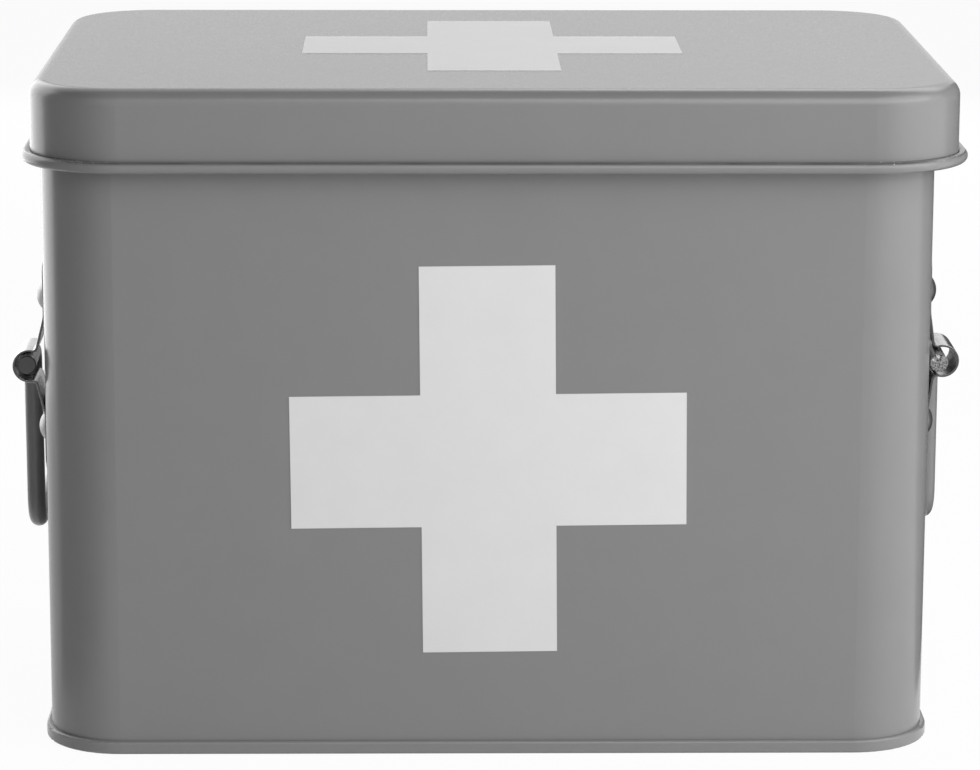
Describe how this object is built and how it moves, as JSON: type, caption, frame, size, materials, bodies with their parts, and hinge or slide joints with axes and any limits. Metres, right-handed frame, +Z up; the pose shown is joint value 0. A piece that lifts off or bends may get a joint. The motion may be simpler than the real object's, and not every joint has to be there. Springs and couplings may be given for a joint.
{
  "type": "first-aid storage box",
  "caption": "Sheet-steel box with a hinged overlapping lid, painted crosses, rolled edges and a wire drop handle on each side.",
  "frame": {"origin": "centre of the base, on the surface that the box stands on", "axes": "+Z up; the front, with the large cross, faces -Y; +X is to the right seen from the front"},
  "size_m": [0.3245, 0.2266, 0.2294],
  "materials": {
    "grey_paint": "satin grey powder coat on sheet steel",
    "white_paint": "flat off-white paint",
    "plated_steel": "bright nickel-plated steel"
  },
  "bodies": {
    "case": {"body_wall": "grey_paint", "base_pan": "grey_paint", "front_cross": "white_paint", "left_front_clip": "plated_steel", "left_rear_clip": "plated_steel", "right_front_clip": "plated_steel", "right_rear_clip": "plated_steel", "left_front_rivets": "plated_steel", "left_rear_rivets": "plated_steel", "right_front_rivets": "plated_steel", "right_rear_rivets": "plated_steel", "left_hinge_body_leaf": "plated_steel", "right_hinge_body_leaf": "plated_steel", "left_hinge_body_rivets": "plated_steel", "right_hinge_body_rivets": "plated_steel", "left_hinge_pin": "plated_steel", "right_hinge_pin": "plated_steel"},
    "lid": {"lid_shell": "grey_paint", "lid_cross": "white_paint", "left_hinge_lid_leaf": "plated_steel", "right_hinge_lid_leaf": "plated_steel", "left_hinge_lid_rivets": "plated_steel", "right_hinge_lid_rivets": "plated_steel"},
    "left_handle": {"left_bail": "grey_paint"},
    "right_handle": {"right_bail": "grey_paint"}
  },
  "joints": [
    {"name": "lid_hinge", "type": "hinge", "parent": "case", "child": "lid", "pos_m": [0, 0.10745, 0.19835], "axis": [-1, 0, 0], "range_deg": [0, 140]},
    {"name": "left_handle_pivot", "type": "hinge", "parent": "case", "child": "left_handle", "pos_m": [-0.15715, 0, 0.13035], "axis": [0, 1, 0], "range_deg": [-2, 180]},
    {"name": "right_handle_pivot", "type": "hinge", "parent": "case", "child": "right_handle", "pos_m": [0.15455, 0, 0.1307], "axis": [0, -1, 0], "range_deg": [0, 180]}
  ]
}
